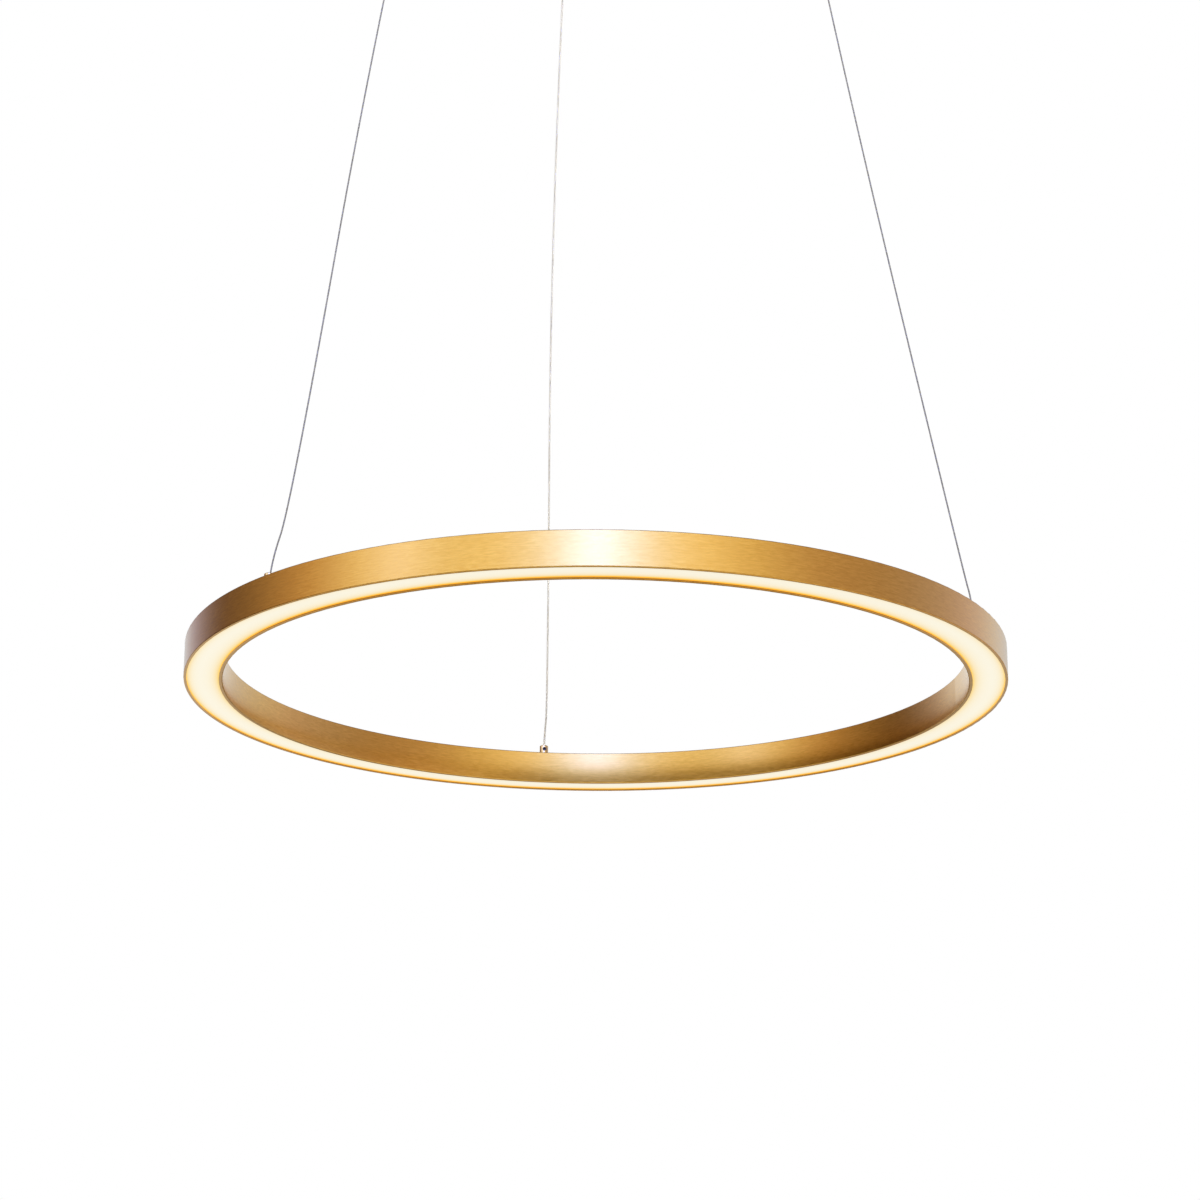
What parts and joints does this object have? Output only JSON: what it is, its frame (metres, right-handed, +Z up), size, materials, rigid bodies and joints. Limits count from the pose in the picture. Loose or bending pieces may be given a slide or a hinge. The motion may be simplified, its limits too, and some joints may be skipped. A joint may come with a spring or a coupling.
{
  "type": "led ring chandelier",
  "caption": "Lit ring lamp of brushed gold channel with an opal diffuser underneath, hung by thin wires from a round ceiling fitting with a sliding cover, height set at cable grippers.",
  "frame": {"origin": "centre of the ceiling plate's top face, which lies on the ceiling", "axes": "+Z up out of the ceiling face, the lamp hangs towards -Z; the feed cable hangs in the +Y direction from the centre and the driver lies along X"},
  "size_m": [0.6, 0.6, 1.085],
  "materials": {
    "brushed_gold": "gold anodised, brushed along its length",
    "polished_gold": "polished and gold plated",
    "opal": "opal, satin, lit from behind",
    "steel_rope": "bare twisted stainless wire",
    "clear_jacket": "clear jacket over tinned cores",
    "zinc_steel": "zinc plated",
    "turned_brass": "fine turned",
    "bright_steel": "bright",
    "black_steel": "black oxide",
    "tinned_copper": "tinned",
    "strip_white": "white solder mask",
    "led_phosphor": "yellow phosphor, lit",
    "connector_plastic": "moulded, fine texture",
    "core_insulation": "red and black insulation",
    "lead_insulation": "brown, blue and green-yellow insulation",
    "grommet_rubber": "matte",
    "driver_plastic": "moulded, fine texture",
    "circuit_board": "green solder mask",
    "component_plastic": "moulded cases and sleeves"
  },
  "bodies": {
    "fitting": {"ceiling_plate": "zinc_steel", "bracket_rivets": "zinc_steel", "gripper_nuts": "zinc_steel", "hanger_bracket_rear": "zinc_steel", "hanger_bracket_left": "zinc_steel", "hanger_bracket_right": "zinc_steel", "gripper_body_rear": "polished_gold", "gripper_body_left": "polished_gold", "gripper_body_right": "polished_gold", "gripper_cap_rear": "turned_brass", "gripper_cap_left": "turned_brass", "gripper_cap_right": "turned_brass", "return_spring_rear": "bright_steel", "return_spring_left": "bright_steel", "return_spring_right": "bright_steel", "feed_cable": "clear_jacket", "steel_wire_left": "steel_rope", "steel_wire_right": "steel_rope", "inlet_grommet": "grommet_rubber", "terminal_block": "connector_plastic", "terminal_barrels": "turned_brass", "terminal_screws": "bright_steel", "earth_screw": "zinc_steel", "earth_lug": "tinned_copper", "mains_leads": "lead_insulation", "driver_base": "driver_plastic", "driver_case": "driver_plastic", "driver_board": "circuit_board", "driver_components": "component_plastic", "driver_screws": "zinc_steel"},
    "ring": {"ring_profile": "brushed_gold", "diffuser": "opal", "led_strip": "strip_white", "led_chips": "led_phosphor", "strip_connector": "connector_plastic", "feed_cores": "core_insulation", "socket_grubs": "black_steel", "socket_washers": "zinc_steel", "socket_nuts": "zinc_steel", "ring_socket_rear": "polished_gold", "ring_socket_left": "polished_gold", "ring_socket_right": "polished_gold", "wire_stop_rear": "bright_steel", "wire_stop_left": "bright_steel", "wire_stop_right": "bright_steel"},
    "release_rear": {"release_button_rear": "polished_gold", "ball_cage_rear": "turned_brass", "grip_balls_rear": "bright_steel"},
    "release_left": {"release_button_left": "polished_gold", "ball_cage_left": "turned_brass", "grip_balls_left": "bright_steel"},
    "release_right": {"release_button_right": "polished_gold", "ball_cage_right": "turned_brass", "grip_balls_right": "bright_steel"},
    "cover": {"canopy_cover": "brushed_gold"},
    "thumb_screw_1": {"cover_screw_1": "polished_gold"},
    "thumb_screw_2": {"cover_screw_2": "polished_gold"},
    "thumb_screw_3": {"cover_screw_3": "polished_gold"}
  },
  "joints": [
    {"name": "ring_height", "type": "slide", "parent": "fitting", "child": "ring", "axis": [0, 0, 1], "range_m": [0, 0.3], "deforming": ["feed_cable", "steel_wire_left", "steel_wire_right"]},
    {"name": "release_press_rear", "type": "slide", "parent": "fitting", "child": "release_rear", "axis": [0, 0, 1], "range_m": [0, 0.002], "stiffness_N_per_m": 400, "springref_m": -0.002, "deforming": ["return_spring_rear"]},
    {"name": "release_press_left", "type": "slide", "parent": "fitting", "child": "release_left", "axis": [0, 0, 1], "range_m": [0, 0.002], "stiffness_N_per_m": 400, "springref_m": -0.002, "deforming": ["return_spring_left"]},
    {"name": "release_press_right", "type": "slide", "parent": "fitting", "child": "release_right", "axis": [0, 0, 1], "range_m": [0, 0.002], "stiffness_N_per_m": 400, "springref_m": -0.002, "deforming": ["return_spring_right"]},
    {"name": "cover_lower", "type": "slide", "parent": "fitting", "child": "cover", "axis": [0, 0, -1], "range_m": [0, 0.045]},
    {"name": "thumb_screw_turn_1", "type": "hinge", "parent": "fitting", "child": "thumb_screw_1", "pos_m": [0.10825, 0.0625, -0.008], "axis": [0.866, 0.5, 0], "range_deg": [0, 720]},
    {"name": "thumb_screw_turn_2", "type": "hinge", "parent": "fitting", "child": "thumb_screw_2", "pos_m": [-0.10825, 0.0625, -0.008], "axis": [-0.866, 0.5, 0], "range_deg": [0, 720]},
    {"name": "thumb_screw_turn_3", "type": "hinge", "parent": "fitting", "child": "thumb_screw_3", "pos_m": [0, -0.125, -0.008], "axis": [0, -1, 0], "range_deg": [0, 720]}
  ]
}
